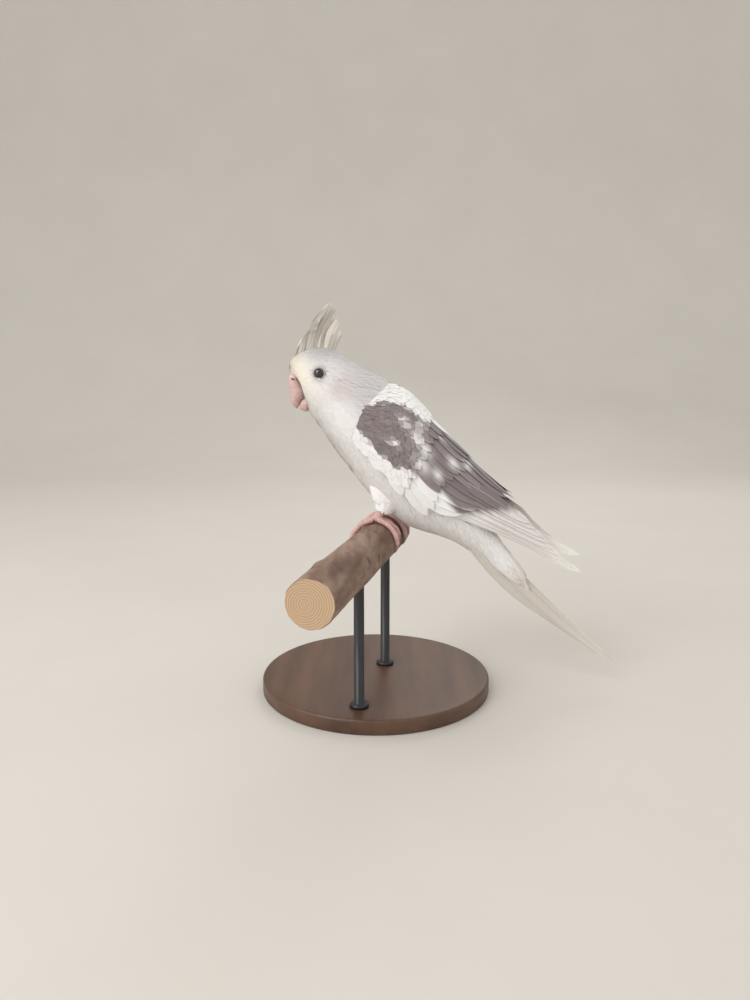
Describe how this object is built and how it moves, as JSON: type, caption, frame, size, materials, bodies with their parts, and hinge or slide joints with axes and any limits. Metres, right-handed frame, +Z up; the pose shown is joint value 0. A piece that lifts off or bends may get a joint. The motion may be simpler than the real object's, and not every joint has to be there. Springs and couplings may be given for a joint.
{
  "type": "cockatiel",
  "caption": "Still life-size model of a pale pied cockatiel with a raised crest and a long tail, gripping a short branch perch on a plain display stand.",
  "frame": {"origin": "middle of the underside of the stand's base", "axes": "+Z up, the bird faces -X, its left side faces -Y"},
  "size_m": [0.2235, 0.2134, 0.2387],
  "materials": {
    "plumage": "soft matte contour feathers, white to pale grey",
    "face_plumage": "fine matte face feathers, pale grey with a cream forehead",
    "wing_plumage": "matte vaned feathers, warm grey mottled with white, pale flight feathers",
    "tail_plumage": "matte vaned feathers, pale beige-grey",
    "bill": "smooth satin horn, pinkish",
    "eye": "wet gloss, near black",
    "foot_skin": "small-scaled matte skin, pink",
    "claw": "satin horn, pinkish grey",
    "bark": "matte worn branch with small dark knots",
    "stand_metal": "satin dark paint",
    "stand_wood": "satin stained wood"
  },
  "bodies": {
    "root": {"head": "face_plumage", "bill_upper": "bill", "bill_lower": "bill", "eye_left": "eye", "eye_right": "eye", "neck": "plumage", "torso": "plumage", "wing_left": "wing_plumage", "wing_right": "wing_plumage", "tail": "tail_plumage", "thigh_left": "plumage", "thigh_right": "plumage", "foot_left": "foot_skin", "foot_right": "foot_skin", "claw_left_1": "claw", "claw_left_2": "claw", "claw_left_3": "claw", "claw_left_4": "claw", "claw_right_1": "claw", "claw_right_2": "claw", "claw_right_3": "claw", "claw_right_4": "claw", "perch": "bark", "stand_rod_1": "stand_metal", "stand_rod_2": "stand_metal", "stand_base": "stand_wood"}
  },
  "joints": []
}
